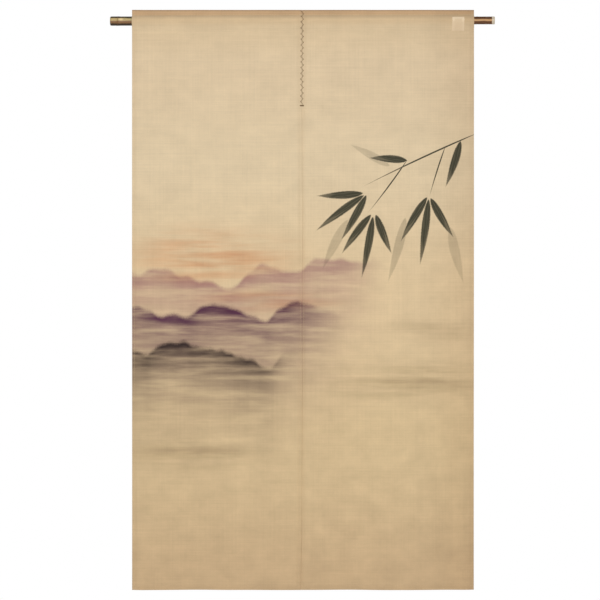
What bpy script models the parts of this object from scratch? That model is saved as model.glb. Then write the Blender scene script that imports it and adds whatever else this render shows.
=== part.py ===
"""A noren: a split doorway curtain of hemp, laced at the top of its slit and hung on a bamboo pole.

Metres, +Z up. The pole runs along X, the front of the cloth faces -Y, and the origin is the middle of
the pole's axis. Each panel is one solid whose top is folded over into a header and a pocket for the pole.
"""

import math

import bmesh
import bpy

# Cloth: HEM_RISE is how much thicker a hem is, and STEP_RAMP how wide the edge of its step
CLOTH_HALF_WIDTH = 0.442
CLOTH_DROP = 1.500
TOP_EDGE = 0.028
BOTTOM_EDGE = TOP_EDGE - CLOTH_DROP
PLY = 0.0012
SIDE_HEM = 0.008
BOTTOM_HEM = 0.012
HEM_RISE = 0.0008
STEP_RAMP = 0.0006

# Pocket: heights measured from the pole's axis
HEADER_SEAM = 0.0148
POCKET_SEAM = -0.0266
TURNED_EDGE = -0.0315
POCKET_ARC_STEPS = 7

# Pole: thicker at its left end, and rising a little to the right
POLE_LEFT_END = -0.4985
POLE_RIGHT_END = 0.4955
POLE_LENGTH = POLE_RIGHT_END - POLE_LEFT_END
POLE_MIDDLE = (POLE_RIGHT_END + POLE_LEFT_END) / 2
POLE_LEFT_RADIUS = 0.0119
POLE_RIGHT_RADIUS = 0.0101
POLE_RISE = 0.0018
POLE_CHAMFER = 0.0008
POLE_SIDES = 20
POLE_MERGE = 0.00001
HOLLOW_DEPTH = 0.018
HOLLOW_SHARE = 0.48

# Rings of the bamboo: where they are along X, and the (distance along, rise) points of one
RING_PLACES = (-0.4785, -0.311, -0.138, 0.041, 0.226, 0.418)
RING_SHAPE = (
    (-0.0050, 0.0),
    (-0.0014, 0.0004),
    (-0.0004, 0.0005),
    (0.0004, 0.0),
    (0.0014, 0.0003),
    (0.0060, 0.0),
)
RING_RISE = max(rise for _, rise in RING_SHAPE)

# Clearances between pieces
GAP = 0.0003
SLIT_GAP = 0.0004
POCKET_CLEARANCE = RING_RISE + GAP

# Slit: the (height, x) points of the line between the panels
SLIT_LINE = (
    (TOP_EDGE, -0.0019),
    (-0.100, -0.0024),
    (-0.221, -0.0030),
    (-0.740, -0.0006),
    (-1.300, -0.0034),
    (BOTTOM_EDGE, -0.0058),
)

# Below the lacing the panels part in depth, and then the left one laps over the right one
PART_BEGINS, PART_ENDS = -0.226, -0.300
LAP_BEGINS, LAP_ENDS = PART_ENDS, -0.400
PART_DEPTH = 0.0014
PART_REACH = 0.120
LAP = 0.004

# Slow waves of the hanging cloth: length along X, share of the depth, phase, and the phase's lean with height
WAVES = (
    (0.340, 0.55, 0.9, 0.7),
    (0.215, 0.30, 2.6, -1.1),
    (0.128, 0.15, 4.4, 1.6),
)
WAVE_DEPTH = 0.0055
WAVES_FULL_AT = -1.100
BOW_DEPTH = 0.0040
BOW_LENGTH = 1.650
EDGE_CURL = 0.0035
CURL_REACH = 0.030

# Grid of a panel: columns between its side hems, and the heights of the rows above its bottom hem
PANEL_COLUMNS = 14
HANG_ROWS = (
    *(-0.052, -0.110, -0.170, PART_BEGINS, PART_ENDS, LAP_ENDS, -0.500, -0.600, -0.700),
    *(-0.800, -0.900, -1.000, -1.100, -1.200, -1.290, -1.370, -1.425),
)

# Lacing: a thread that zigzags over the slit, and the straight tack that ends it
LACING_RADIUS = 0.00065
LACING_REACH = 0.0031
LACING_TOP = 0.0262
LACING_END = -0.2130
LACING_RUNS = 33
LACING_SIDES_SETTING = 2
TACK_HEIGHT = -0.2197
TACK_REACH = 0.0050
TACK_SWELL = 1.35

# Tape label on the front of the right pocket
LABEL_MIDDLE = 0.401
LABEL_WIDTH = 0.031
LABEL_THICKNESS = 0.0010
LABEL_TOP_ANGLE = math.radians(46)

# Finishes: colour and roughness
HEMP = ((0.66, 0.54, 0.37), 0.90)
BAMBOO = ((0.20, 0.11, 0.045), 0.45)
THREAD = ((0.13, 0.085, 0.05), 0.85)
TAPE = ((0.76, 0.67, 0.52), 0.85)

COLLECTION = "noren"
SHARP_ANGLE = math.radians(40)


def smooth(share):
    """Rises from 0 to 1 as the share does, level at both ends."""
    share = min(max(share, 0.0), 1.0)
    return share * share * (3 - 2 * share)


def between(value, begins, ends):
    """0 where the value is at begins, 1 where it is at ends, and smooth on the way."""
    return smooth((value - begins) / (ends - begins))


def steps_from(first, last, steps):
    """Evenly spaced values from the first to the last, both included."""
    return [first + (last - first) * step / steps for step in range(steps + 1)]


def pole_radius(x):
    """The bamboo's radius between its rings."""
    share = (x - POLE_LEFT_END) / POLE_LENGTH
    return POLE_LEFT_RADIUS + (POLE_RIGHT_RADIUS - POLE_LEFT_RADIUS) * share


def pole_height(x):
    """Height of the pole's axis."""
    return POLE_RISE * x / POLE_LENGTH


def slit_x(z):
    """Where the slit runs at this height, read from its table."""
    for (upper, x_upper), (lower, x_lower) in zip(SLIT_LINE, SLIT_LINE[1:]):
        if z >= lower:
            return x_upper + (x_lower - x_upper) * between(z, upper, lower)
    return SLIT_LINE[-1][1]


def hang(x, z):
    """How far back the cloth's waves carry it from the plane under the pole."""
    freed = between(z, POCKET_SEAM, WAVES_FULL_AT)
    turn = 2 * math.pi
    waves = [share * math.sin(turn * x / length + phase + lean * z) for length, share, phase, lean in WAVES]
    bow = math.sin(turn * (z - POCKET_SEAM) / BOW_LENGTH)
    curl = between(abs(x), CLOTH_HALF_WIDTH - CURL_REACH, CLOTH_HALF_WIDTH)
    return freed * (WAVE_DEPTH * sum(waves) + BOW_DEPTH * bow + EDGE_CURL * curl)


def parting(x, z, side):
    """The left panel comes forward of the right one below the lacing, most at the slit."""
    near = 1 - between(abs(x - slit_x(z)), 0.0, PART_REACH)
    return side * PART_DEPTH * near * between(z, PART_BEGINS, PART_ENDS)


def slit_edge(z, side):
    """The x of a panel's edge at the slit: side is -1 for the left panel and 1 for the right one."""
    lap = LAP * between(z, LAP_BEGINS, LAP_ENDS) if side > 0 else 0.0
    return slit_x(z) + side * SLIT_GAP / 2 - lap


def pocket_angles(inner):
    """The angles from straight up between which cloth of this inner radius lies round the pole."""
    upper = math.acos(inner / HEADER_SEAM)
    lower = math.pi - math.acos(inner / -POCKET_SEAM)
    return steps_from(upper, lower, POCKET_ARC_STEPS)


def ply_join(outer, angle):
    """Height from the pole's axis at which the outside of a ply leaving the round meets the flat cloth."""
    return (outer - PLY * math.sin(angle)) / math.cos(angle)


def arc(radius, axis, angles):
    """The (y, z) points of a round on the front of the pole."""
    return [(-radius * math.sin(angle), axis + radius * math.cos(angle)) for angle in angles]


def mirrored(points):
    """The same points behind the pole, in the opposite order."""
    return [(-y, z) for y, z in reversed(points)]


def panel_sections(x):
    """The outline of the cloth and of its pocket at a place on the pole, both as (y, z, on_back) points."""
    inner = pole_radius(x) + POCKET_CLEARANCE
    outer = inner + PLY
    axis = pole_height(x)
    angles = pocket_angles(inner)
    hem_top = BOTTOM_EDGE + BOTTOM_HEM
    rows = (*HANG_ROWS, hem_top + STEP_RAMP, hem_top, BOTTOM_EDGE)
    folded = arc(PLY, TOP_EDGE - PLY, (math.pi / 4, math.pi / 2))
    folded.append((-PLY, axis + ply_join(outer, angles[0])))
    folded += arc(outer, axis, angles)
    folded.append((-PLY, axis + ply_join(outer, angles[-1])))
    outline = [(0.0, TOP_EDGE, False)]
    outline += [(y, z, False) for y, z in folded]
    outline += [(-PLY, z, False) for z in rows]
    outline += [(0.0, z, True) for z in reversed(rows)]
    outline += [(0.0, TURNED_EDGE - STEP_RAMP, True), (PLY, TURNED_EDGE, False)]
    outline += [(y, z, False) for y, z in mirrored(folded)]
    round_front = arc(inner, axis, angles)
    pocket = [(0.0, axis + HEADER_SEAM), *round_front, (0.0, axis + POCKET_SEAM), *mirrored(round_front)]
    return outline, [(y, z, False) for y, z in pocket]


def panel_columns():
    """Distances from the panel's outer edge, as (distance, in_side_hem) pairs, with a step at each hem."""
    slit_hem = CLOTH_HALF_WIDTH - SIDE_HEM
    middle = steps_from(SIDE_HEM + STEP_RAMP, slit_hem - STEP_RAMP, PANEL_COLUMNS)
    columns = [(0.0, True), (SIDE_HEM, True)]
    columns += [(distance, False) for distance in middle]
    columns += [(slit_hem, True), (CLOTH_HALF_WIDTH, True)]
    return columns


def panel_point(distance, y, z, side, in_hem, hangs):
    """Where a point of the flat cloth is when the panel hangs."""
    to_slit = slit_edge(z, side) * between(distance, SIDE_HEM, CLOTH_HALF_WIDTH - SIDE_HEM)
    x = side * (CLOTH_HALF_WIDTH - distance) + to_slit
    if in_hem:
        y += HEM_RISE
    if hangs:
        y += hang(x, z) + parting(x, z, side)
    return x, y, z


def loft(mesh, rings):
    """Joins each ring of corners to the next with a strip of faces."""
    for ring, beyond in zip(rings, rings[1:]):
        for index, corner in enumerate(ring):
            after = (index + 1) % len(ring)
            mesh.faces.new((corner, beyond[index], beyond[after], ring[after]))


def cap(mesh, rings):
    """Closes the cloth's side edge between its outline and its pocket."""
    border = []
    for ring in rings:
        for index, corner in enumerate(ring):
            border.append(mesh.edges.get((corner, ring[(index + 1) % len(ring)])))
    bmesh.ops.triangle_fill(mesh, use_beauty=True, edges=border)


def make_panel(name, side):
    """One panel, lofted along the pole from its sections."""
    mesh = bmesh.new()
    outlines = []
    pockets = []
    hem_top = BOTTOM_EDGE + BOTTOM_HEM
    for distance, in_side_hem in panel_columns():
        outline, pocket = panel_sections(side * (CLOTH_HALF_WIDTH - distance))
        outlines.append([])
        for y, z, on_back in outline:
            in_hem = on_back and (in_side_hem or z <= hem_top)
            place = panel_point(distance, y, z, side, in_hem, hangs=True)
            outlines[-1].append(mesh.verts.new(place))
        pockets.append([])
        for y, z, _ in pocket:
            place = panel_point(distance, y, z, side, in_hem=False, hangs=False)
            pockets[-1].append(mesh.verts.new(place))
    loft(mesh, outlines)
    loft(mesh, pockets)
    cap(mesh, (outlines[0], pockets[0]))
    cap(mesh, (outlines[-1], pockets[-1]))
    bmesh.ops.recalc_face_normals(mesh, faces=mesh.faces)
    return add_mesh(name, mesh)


def make_pole():
    """The bamboo: a turned profile with its rings and its hollow sawn ends, laid along X."""
    half = POLE_LENGTH / 2
    right_hollow = POLE_RIGHT_RADIUS * HOLLOW_SHARE
    left_hollow = POLE_LEFT_RADIUS * HOLLOW_SHARE
    profile = [
        (0.0, half - HOLLOW_DEPTH),
        (right_hollow, half - HOLLOW_DEPTH),
        (right_hollow, half),
        (POLE_RIGHT_RADIUS - POLE_CHAMFER, half),
        (POLE_RIGHT_RADIUS, half - POLE_CHAMFER),
    ]
    for place in reversed(RING_PLACES):
        for offset, rise in reversed(RING_SHAPE):
            profile.append((pole_radius(place + offset) + rise, place + offset - POLE_MIDDLE))
    profile += [
        (POLE_LEFT_RADIUS, POLE_CHAMFER - half),
        (POLE_LEFT_RADIUS - POLE_CHAMFER, -half),
        (left_hollow, -half),
        (left_hollow, HOLLOW_DEPTH - half),
        (0.0, HOLLOW_DEPTH - half),
    ]
    mesh = bmesh.new()
    points = [mesh.verts.new((radius, 0.0, along)) for radius, along in profile]
    for point, beyond in zip(points, points[1:]):
        mesh.edges.new((point, beyond))
    pole = add_mesh("pole", mesh)
    turned = pole.modifiers.new("Turned", "SCREW")
    turned.axis = "Z"
    turned.steps = POLE_SIDES
    turned.render_steps = POLE_SIDES
    turned.use_merge_vertices = True
    turned.merge_threshold = POLE_MERGE
    pole.location = (POLE_MIDDLE, 0.0, pole_height(POLE_MIDDLE))
    pole.rotation_euler = (0.0, math.pi / 2 - math.atan2(POLE_RISE, POLE_LENGTH), 0.0)
    return pole


def cloth_front(x, z, proud):
    """The y of a surface this far in front of the cloth, anywhere near the slit above the parting."""
    inner = pole_radius(x) + POCKET_CLEARANCE
    outer = inner + PLY + proud
    angles = pocket_angles(inner)
    height = z - pole_height(x)
    if outer * math.cos(angles[-1]) < height < outer * math.cos(angles[0]):
        pocket = -math.sqrt(outer * outer - height * height)
    else:
        angle = angles[0] if height > 0 else angles[-1]
        pocket = (height * math.cos(angle) - outer) / math.sin(angle)
    return min(-PLY - proud, pocket) + hang(x, z)


def make_lacing():
    """One thread on the front of the slit, with a point between its turns where the pocket is round."""
    run = (LACING_TOP - LACING_END) / LACING_RUNS
    places = []
    for turn in range(LACING_RUNS + 1):
        z = LACING_TOP - run * turn
        side = 1 if turn % 2 else -1
        places.append((slit_x(z) + side * LACING_REACH, z, 1.0))
        if z > POCKET_SEAM:
            places.append((slit_x(z - run / 2), z - run / 2, 1.0))
    for end in (side, -side):
        places.append((slit_x(TACK_HEIGHT) + end * TACK_REACH, TACK_HEIGHT, TACK_SWELL))
    curve = bpy.data.curves.new("lacing", "CURVE")
    curve.dimensions = "3D"
    curve.bevel_depth = LACING_RADIUS
    curve.bevel_resolution = LACING_SIDES_SETTING
    curve.use_fill_caps = True
    thread = curve.splines.new("POLY")
    thread.points.add(len(places) - 1)
    for point, (x, z, swell) in zip(thread.points, places):
        point.co = (x, cloth_front(x, z, LACING_RADIUS * swell + GAP), z, 1.0)
        point.radius = swell
    return add_object("lacing", curve)


def make_label():
    """A blank tape that lies over the front of the pocket, from near its top down to its lower seam."""
    left = LABEL_MIDDLE - LABEL_WIDTH / 2
    right = LABEL_MIDDLE + LABEL_WIDTH / 2
    inner = pole_radius(left) + POCKET_CLEARANCE
    outer = inner + PLY
    axis = pole_height(LABEL_MIDDLE)
    lower = pocket_angles(inner)[-1]
    path = arc(outer + GAP, axis, steps_from(LABEL_TOP_ANGLE, lower, POCKET_ARC_STEPS))
    path.append((-PLY - GAP, axis + ply_join(outer, lower)))
    mesh = bmesh.new()
    rows = [[mesh.verts.new((x, y, z)) for x in (left, right)] for y, z in path]
    for row, below in zip(rows, rows[1:]):
        mesh.faces.new((row[0], below[0], below[1], row[1]))
    label = add_mesh("label", mesh)
    tape = label.modifiers.new("Tape", "SOLIDIFY")
    tape.thickness = LABEL_THICKNESS
    tape.offset = 1.0
    tape.use_even_offset = True
    return label


def add_object(name, data):
    """Places a curve's or a mesh's object in the noren's collection."""
    made = bpy.data.objects.new(name, data)
    bpy.data.collections[COLLECTION].objects.link(made)
    return made


def add_mesh(name, mesh):
    """Turns a finished cage into an object, shaded smooth but for its sharp edges."""
    data = bpy.data.meshes.new(name)
    mesh.to_mesh(data)
    mesh.free()
    data.shade_smooth()
    data.set_sharp_from_angle(angle=SHARP_ANGLE)
    return add_object(name, data)


def finish(piece, name, look):
    """Gives a piece its own plain surface."""
    colour, roughness = look
    material = bpy.data.materials.new(name)
    material.use_nodes = True
    surface = material.node_tree.nodes["Principled BSDF"]
    surface.inputs["Base Color"].default_value = (*colour, 1.0)
    surface.inputs["Roughness"].default_value = roughness
    surface.inputs["Metallic"].default_value = 0.0
    piece.data.materials.append(material)


def main():
    for item in list(bpy.data.objects):
        bpy.data.objects.remove(item)
    bpy.context.scene.collection.children.link(bpy.data.collections.new(COLLECTION))
    finish(make_panel("panel_left", -1), "hemp_left", HEMP)
    finish(make_panel("panel_right", 1), "hemp_right", HEMP)
    finish(make_pole(), "smoked_bamboo", BAMBOO)
    finish(make_lacing(), "lacing_thread", THREAD)
    finish(make_label(), "cotton_tape", TAPE)


main()
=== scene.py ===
"""A noren of pale hemp on a smoked bamboo pole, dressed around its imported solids.

Metres, +Z up. The pole runs along X, the painted side faces -Y, and the origin is the middle of the
pole's axis. Each cloth is a thin sheet, cut as a strip whose hem and pocket are folded to the back.
"""

import logging
import math
from collections.abc import Iterable, Sequence
from dataclasses import dataclass
from enum import Enum
from typing import Any

import bmesh
import bpy
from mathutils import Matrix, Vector, noise


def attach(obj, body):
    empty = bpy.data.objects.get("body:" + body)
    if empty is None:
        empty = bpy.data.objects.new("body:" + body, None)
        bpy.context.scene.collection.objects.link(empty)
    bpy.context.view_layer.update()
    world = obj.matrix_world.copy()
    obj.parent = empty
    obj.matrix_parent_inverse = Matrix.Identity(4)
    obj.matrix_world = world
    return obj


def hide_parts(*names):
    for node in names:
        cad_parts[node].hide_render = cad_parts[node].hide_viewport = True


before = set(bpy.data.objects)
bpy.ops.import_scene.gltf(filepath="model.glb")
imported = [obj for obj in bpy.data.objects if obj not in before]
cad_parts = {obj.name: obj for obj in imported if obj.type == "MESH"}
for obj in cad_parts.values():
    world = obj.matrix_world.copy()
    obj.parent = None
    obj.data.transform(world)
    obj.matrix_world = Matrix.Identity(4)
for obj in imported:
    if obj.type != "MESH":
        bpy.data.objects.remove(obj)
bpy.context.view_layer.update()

log = logging.getLogger("noren")

BODY = "root"
FULL_TURN = 2 * math.pi
SHARP_ANGLE = math.radians(40)

Triple = tuple[float, float, float]
Colour = Triple
Socket = bpy.types.NodeSocket


def smooth(share: float) -> float:
    """Rises from 0 to 1 as the share does, level at both ends."""
    share = min(max(share, 0.0), 1.0)
    return share * share * (3 - 2 * share)


def between(value: float, begins: float, ends: float) -> float:
    """0 where the value is at begins, 1 where it is at ends, and smooth on the way."""
    return smooth((value - begins) / (ends - begins))


def steps_from(first: float, last: float, steps: int) -> list[float]:
    """Evenly spaced values from the first to the last, both included."""
    return [first + (last - first) * step / steps for step in range(steps + 1)]


class Side(Enum):
    """Which panel of the noren, as seen from the front."""

    LEFT = -1
    RIGHT = 1


class Value:
    """A node's output, reckoned with like a number: each step adds a node to its tree."""

    def __init__(self, wiring: "Wiring", socket: Socket) -> None:
        """Takes the wiring of the tree and the output."""
        self.wiring = wiring
        self.socket = socket

    def __add__(self, other: Any) -> "Value":
        """The sum with another value."""
        return self.wiring.math("ADD", self, other)

    def __sub__(self, other: Any) -> "Value":
        """What is left after another value is taken away."""
        return self.wiring.math("SUBTRACT", self, other)

    def __rsub__(self, other: Any) -> "Value":
        """What is left of a plain number after this value is taken away."""
        return self.wiring.math("SUBTRACT", other, self)

    def __mul__(self, other: Any) -> "Value":
        """The product with another value."""
        return self.wiring.math("MULTIPLY", self, other)

    def __truediv__(self, other: Any) -> "Value":
        """This value divided by another."""
        return self.wiring.math("DIVIDE", self, other)

    def __pow__(self, other: Any) -> "Value":
        """This value raised to a power."""
        return self.wiring.math("POWER", self, other)

    def __abs__(self) -> "Value":
        """The value without its sign."""
        return self.wiring.math("ABSOLUTE", self)

    def clamped(self) -> "Value":
        """The same Math node's result, held between 0 and 1."""
        self.socket.node.use_clamp = True
        return self

    def centred(self, share: Any) -> "Value":
        """A value around 0.5 turned into one around 0, and scaled by a share."""
        return (self - 0.5) * share

    def ramp(self, begins: float, ends: float, first: float = 0.0, last: float = 1.0) -> "Value":
        """A smooth rise or fall of the value.

        Args:
            begins: Where the ramp starts.
            ends: Where it stops.
            first: The result at its start.
            last: The result at its stop.

        Returns:
            The ramped value.
        """
        inputs = {"Value": self, "From Min": begins, "From Max": ends, "To Min": first, "To Max": last}
        return self.wiring.make("ShaderNodeMapRange", inputs, interpolation_type="SMOOTHSTEP")

    def parts(self) -> list["Value"]:
        """The three numbers of a place."""
        return list(self.wiring.outputs_of(self.wiring.add("ShaderNodeSeparateXYZ", {0: self})).values())

    def stretched(self, stretch: Triple) -> "Value":
        """A place multiplied along each of its axes."""
        return self.wiring.make("ShaderNodeVectorMath", {0: self, 1: stretch}, operation="MULTIPLY")

    def framed(self, location: Any, scale: Any, turn: Any = (0.0, 0.0, 0.0)) -> "Value":
        """A place as it reads in a frame with this location, scale and turn."""
        inputs = {"Vector": self, "Location": location, "Rotation": turn, "Scale": scale}
        return self.wiring.make("ShaderNodeMapping", inputs, vector_type="TEXTURE")

    def cloudy(self, stretch: Triple, detail: float = 2.0, roughness: float = 0.5) -> "Value":
        """A noise from 0 to 1 over a place.

        Args:
            stretch: How many cells the noise has in a metre, along each axis.
            detail: Its finer layers.
            roughness: The strength of those layers.

        Returns:
            The noise.
        """
        inputs = {"Vector": self.stretched(stretch), "Scale": 1.0, "Detail": detail, "Roughness": roughness}
        return self.wiring.make("ShaderNodeTexNoise", inputs)


class Wiring:
    """Adds and joins the nodes of one shader or geometry tree."""

    def __init__(self, tree: bpy.types.NodeTree) -> None:
        """Takes the tree to work in."""
        self.tree = tree

    def feed(self, socket: Socket, value: Any) -> None:
        """Links a node's output to the input, or sets the input to a plain value."""
        if isinstance(value, Value):
            self.tree.links.new(value.socket, socket)
        elif socket.type == "RGBA":
            socket.default_value = (*value, 1.0)
        else:
            socket.default_value = value

    def add(self, kind: str, inputs: dict[str | int, Any] | None = None, **settings: Any) -> bpy.types.Node:
        """Adds a node.

        Args:
            kind: The node's type name.
            inputs: Its inputs by name or number, each a plain value or another node's output.
            settings: Its own options, set before the inputs.

        Returns:
            The new node.
        """
        node = self.tree.nodes.new(kind)
        for name, value in settings.items():
            setattr(node, name, value)
        for key, value in (inputs or {}).items():
            self.feed(node.inputs[key], value)
        return node

    def make(
        self, kind: str, inputs: dict[str | int, Any] | None = None, output: str | int = 0, **settings: Any
    ) -> Value:
        """One output of a new node, by its name or number."""
        return Value(self, self.add(kind, inputs, **settings).outputs[output])

    def outputs_of(self, node: bpy.types.Node) -> dict[str, Value]:
        """All outputs of a node by name."""
        return {socket.name: Value(self, socket) for socket in node.outputs}

    def math(self, operation: str, *values: Any) -> Value:
        """The result of one Math node."""
        return self.make("ShaderNodeMath", dict(enumerate(values)), operation=operation)

    def combined(self, *parts: Any) -> Value:
        """A place put together from its three numbers."""
        return self.make("ShaderNodeCombineXYZ", dict(enumerate(parts)))

    def scaled(self, colour: Any, shade: Value) -> Value:
        """A colour made lighter or darker."""
        return self.make("ShaderNodeVectorMath", {0: colour, "Scale": shade}, operation="SCALE")

    def mix(self, share: Any, first: Any, second: Any, blend: str = "MIX") -> Value:
        """Two colours mixed, or blended in another way, by a share."""
        node = self.add("ShaderNodeMix", data_type="RGBA", blend_type=blend, clamp_factor=True)
        colours = [socket for socket in node.inputs if socket.type == "RGBA"]
        for socket, value in zip((node.inputs[0], *colours), (share, first, second)):
            self.feed(socket, value)
        return Value(self, next(socket for socket in node.outputs if socket.type == "RGBA"))

    def stain(self, colour: Any, tint: Colour, cover: Any) -> Value:
        """A colour seen through a transparent tint that covers it by a share, used for the ink and for
        painted shade.
        """
        return self.mix(cover, colour, tint, "MULTIPLY")

    def bump(self, height: Value, strength: float, distance: float) -> Value:
        """The normal of a surface with fine relief."""
        return self.make("ShaderNodeBump", {"Strength": strength, "Distance": distance, "Height": height})

    def made_real(self, shape: Value, yarn: Value) -> Value:
        """The end of a geometry tree: its instances made real, and its material set."""
        real = self.make("GeometryNodeRealizeInstances", {0: shape})
        return self.make("GeometryNodeSetMaterial", {0: real, "Material": yarn})


class Skin(Wiring):
    """A material in the making: its tree and its Principled shader."""

    def __init__(self, name: str) -> None:
        """Takes the material's name."""
        self.material = bpy.data.materials.new(name)
        self.material.use_nodes = True
        super().__init__(self.material.node_tree)

    def read(self, name: str, output: str = "Fac") -> Value:
        """A value that the piece's own mesh carries."""
        return self.make("ShaderNodeAttribute", output=output, attribute_name=name)

    def own_place(self) -> Value:
        """Where the surface is in the piece's own frame, which is the frame of the whole noren."""
        return self.make("ShaderNodeTexCoord", output="Object")

    def finished(self, inputs: dict[str, Any]) -> bpy.types.Material:
        """The material, with these inputs of its shader fed."""
        shader = self.tree.nodes["Principled BSDF"]
        for name, value in inputs.items():
            self.feed(shader.inputs[name], value)
        return self.material


class SocketKind(Enum):
    """The kinds of value that pass through a node group."""

    NUMBER = "NodeSocketFloat"
    PLACE = "NodeSocketVector"
    SHAPE = "NodeSocketGeometry"
    FINISH = "NodeSocketMaterial"


class NodeGroup:
    """A node group that is built once and shared; the fields of its class are its inputs."""

    name = ""
    tree_kind = "ShaderNodeTree"
    links = {"place": SocketKind.PLACE}
    gives = {"cover": SocketKind.NUMBER}

    def tree(self) -> bpy.types.NodeTree:
        """The group's tree, which the first call builds."""
        made = bpy.data.node_groups.get(self.name)
        if made is not None:
            return made
        made = bpy.data.node_groups.new(self.name, self.tree_kind)
        takes = dict(self.links)
        for name, value in vars(self).items():
            takes[name] = SocketKind.PLACE if isinstance(value, tuple) else SocketKind.NUMBER
        for ports, direction in ((takes, "INPUT"), (self.gives, "OUTPUT")):
            for name, kind in ports.items():
                made.interface.new_socket(name, in_out=direction, socket_type=kind.value)
        wiring = Wiring(made)
        given = wiring.outputs_of(wiring.add("NodeGroupInput"))
        wiring.add("NodeGroupOutput", dict(zip(self.gives, self.wire(wiring, given))))
        return made

    def wire(self, wiring: Wiring, given: dict[str, Value]) -> tuple[Value, ...]:
        """Joins the group's nodes and returns its outputs in order."""
        raise NotImplementedError

    def lay(self, place: Value) -> dict[str, Value]:
        """Puts the group into a material's tree over a place, and returns its outputs by name."""
        wiring = place.wiring
        inputs = {"place": place, **vars(self)}
        return wiring.outputs_of(wiring.add("ShaderNodeGroup", inputs, node_tree=self.tree()))


@dataclass(frozen=True)
class PlainWeave(NodeGroup):
    """Threads that pass over and under one another, one thread every spacing."""

    spacing: float
    name = "Plain weave"
    gives = {"height": SocketKind.NUMBER, "gap": SocketKind.NUMBER}

    def wire(self, wiring: Wiring, given: dict[str, Value]) -> tuple[Value, ...]:
        """Height is 1 on top of a thread, and gap is 1 in the hole between four threads."""
        wander = given["place"].cloudy((90.0, 90.0, 1.0), detail=1.0)
        across, along, _ = given["place"].parts()
        waves = [wiring.math("SINE", (way / given["spacing"] + wander) * math.pi) for way in (across, along)]
        warp, weft = [abs(wave) for wave in waves]
        over = waves[0] * waves[1] * 0.5 + 0.5
        return warp * over + weft * (1.0 - over), 1.0 - wiring.math("MAXIMUM", warp, weft)


@dataclass(frozen=True)
class Slubs(NodeGroup):
    """Thick and thin stretches of hand-spun thread, along the weft and along the warp."""

    name = "Slubs"
    gives = {"weft": SocketKind.NUMBER, "warp": SocketKind.NUMBER, "mottle": SocketKind.NUMBER}
    long_slubs = ((4.0, 280.0, 1.0), (280.0, 3.5, 1.0))
    short_slubs = ((34.0, 900.0, 1.0), (900.0, 30.0, 1.0))
    mottle_cells = (16.0, 20.0, 1.0)

    def wire(self, wiring: Wiring, given: dict[str, Value]) -> tuple[Value, ...]:
        """Each output is about 0.5 on average."""
        place = given["place"]
        threads = [
            place.cloudy(long, roughness=0.6) * 0.6 + place.cloudy(short, detail=1.0) * 0.4
            for long, short in zip(self.long_slubs, self.short_slubs)
        ]
        return (*threads, place.cloudy(self.mottle_cells, detail=4.0, roughness=0.55))


@dataclass(frozen=True)
class RidgeWash(NodeGroup):
    """A wet wash that is dark along a wavering ridge and fades into mist below it."""

    height: float
    rise: float
    hills: float
    seed: float
    fade: float
    right_end: float
    ink: float
    name = "Ridge wash"
    bleed = 0.008
    edge_width = 0.016
    end_width = 0.16

    def wire(self, wiring: Wiring, given: dict[str, Value]) -> tuple[Value, ...]:
        """Cover is the share of the cloth's light that the wash takes."""
        place = given["place"]
        across, along, _ = place.parts()
        course = across * given["hills"] + given["seed"]
        inputs = {"W": course, "Scale": 1.0, "Detail": 3.0, "Roughness": 0.42}
        ridge = wiring.make("ShaderNodeTexNoise", inputs, noise_dimensions="1D")
        ragged = place.cloudy((300.0, 220.0, 1.0)) * self.bleed
        below = ragged + (ridge.centred(given["rise"]) + given["height"]) - along
        fall = wiring.math("MAXIMUM", below, 0.0) / given["fade"]
        streaks = place.cloudy((5.0, 42.0, 1.0), detail=4.0, roughness=0.55).ramp(0.25, 0.65, 0.35, 1.0)
        body = below.ramp(0.0, self.edge_width) * wiring.math("EXPONENT", fall * -1.0)
        window = (given["right_end"] - across).ramp(0.0, self.end_width)
        return ((body * streaks * window * given["ink"]).clamped(),)


@dataclass(frozen=True)
class MistStreak(NodeGroup):
    """A soft band drawn along the weft with a nearly dry brush."""

    middle: Triple
    reach: Triple
    ink: float
    name = "Mist streak"

    def wire(self, wiring: Wiring, given: dict[str, Value]) -> tuple[Value, ...]:
        """Cover is the share of the cloth's light that the band takes."""
        local = given["place"].framed(given["middle"], given["reach"])
        away = wiring.make("ShaderNodeVectorMath", {0: local}, "Value", operation="LENGTH")
        streaks = given["place"].cloudy((4.0, 40.0, 1.0), detail=3.0).ramp(0.26, 0.74)
        return ((away.ramp(1.0, 0.1) * streaks * given["ink"]).clamped(),)


@dataclass(frozen=True)
class LeafStroke(NodeGroup):
    """One press of a loaded brush from its foot along its heading: a leaf that runs out to a point."""

    foot_x: float
    foot_z: float
    heading: float
    length: float
    half_width: float = 0.0105
    bend: float = 0.0
    ink: float = 1.08
    name = "Leaf stroke"
    fullness = 2.7
    raggedness = 0.22

    def wire(self, wiring: Wiring, given: dict[str, Value]) -> tuple[Value, ...]:
        """Cover is the share of the cloth's light that the stroke takes."""
        foot = wiring.combined(given["foot_x"], given["foot_z"], 0.0)
        size = wiring.combined(given["length"], given["half_width"], 1.0)
        turn = wiring.combined(0.0, 0.0, wiring.math("RADIANS", given["heading"]))
        local = given["place"].framed(foot, size, turn)
        along, across, _ = local.parts()
        run = wiring.math("MINIMUM", wiring.math("MAXIMUM", along, 0.0), 1.0)
        off = abs(across - run * run * given["bend"])
        half = run**0.6 * (1.0 - run) ** 1.05 * self.fullness
        ragged = given["place"].cloudy((420.0, 420.0, 1.0)).centred(self.raggedness)
        body = (ragged + (half - off)).ramp(0.02, 0.26)
        bristles = local.cloudy((2.2, 3.4, 1.0), detail=3.0, roughness=0.6).ramp(0.25, 0.7, 0.80, 1.0)
        drying = run.ramp(0.35, 1.0, 1.0, 0.78)
        return ((body * bristles * drying * given["ink"]).clamped(),)


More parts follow.
